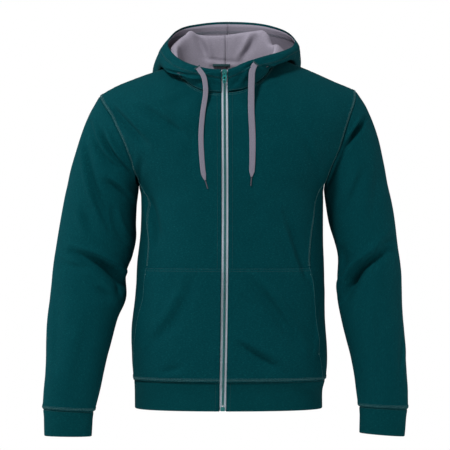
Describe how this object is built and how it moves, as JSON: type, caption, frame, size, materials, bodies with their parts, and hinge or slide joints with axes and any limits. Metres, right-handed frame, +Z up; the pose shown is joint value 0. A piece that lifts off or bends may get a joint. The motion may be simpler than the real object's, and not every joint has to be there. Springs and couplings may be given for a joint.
{
  "type": "zip up hoodie",
  "caption": "Hollow worn-form zip-up hooded sweatshirt with the hood down, patch pockets, side panels, hanging flat drawcords, banded cuffs and hem, and a zip whose pull tab swings.",
  "frame": {"origin": "middle of the neck, level with the shoulders that carry the garment", "axes": "+Z up along the body, the front faces -Y, +X to the wearer's left"},
  "size_m": [0.709, 0.3005, 0.815],
  "materials": {
    "sweatshirt_knit": "dark teal heathered sweatshirt knit, matt with a soft nap",
    "band_knit": "doubled dark teal heathered knit, matt",
    "lining_jersey": "plain grey jersey, matt",
    "zip_tape": "silver woven tape with a slight sheen",
    "zip_plastic": "teal moulded zip, satin",
    "cord_braid": "grey flat braid, matt",
    "cord_tip": "dark dipped tip, smooth",
    "hanger_tape": "dark teal woven tape, matt"
  },
  "bodies": {
    "garment": {"front_right": "sweatshirt_knit", "front_left": "sweatshirt_knit", "side_panel_right": "sweatshirt_knit", "side_panel_left": "sweatshirt_knit", "back": "sweatshirt_knit", "sleeve_right": "sweatshirt_knit", "sleeve_left": "sweatshirt_knit", "pocket_right": "sweatshirt_knit", "pocket_left": "sweatshirt_knit", "hood_right": "sweatshirt_knit", "hood_left": "sweatshirt_knit", "cuff_right": "band_knit", "cuff_left": "band_knit", "hem_band": "band_knit", "hood_lining_right": "lining_jersey", "hood_lining_left": "lining_jersey", "zip_tape_right": "zip_tape", "zip_tape_left": "zip_tape", "zip_chain": "zip_plastic", "zip_slider": "zip_plastic", "zip_box": "zip_plastic", "drawcord_right": "cord_braid", "drawcord_left": "cord_braid", "cord_tip_right": "cord_tip", "cord_tip_left": "cord_tip", "hanger_loop": "hanger_tape"},
    "pull_tab": {"pull_tab": "zip_plastic"}
  },
  "joints": [
    {"name": "pull_tab_swing", "type": "hinge", "parent": "garment", "child": "pull_tab", "pos_m": [-0.0029, -0.10915, -0.028], "axis": [-1, 0, 0], "range_deg": [0, 150]}
  ]
}
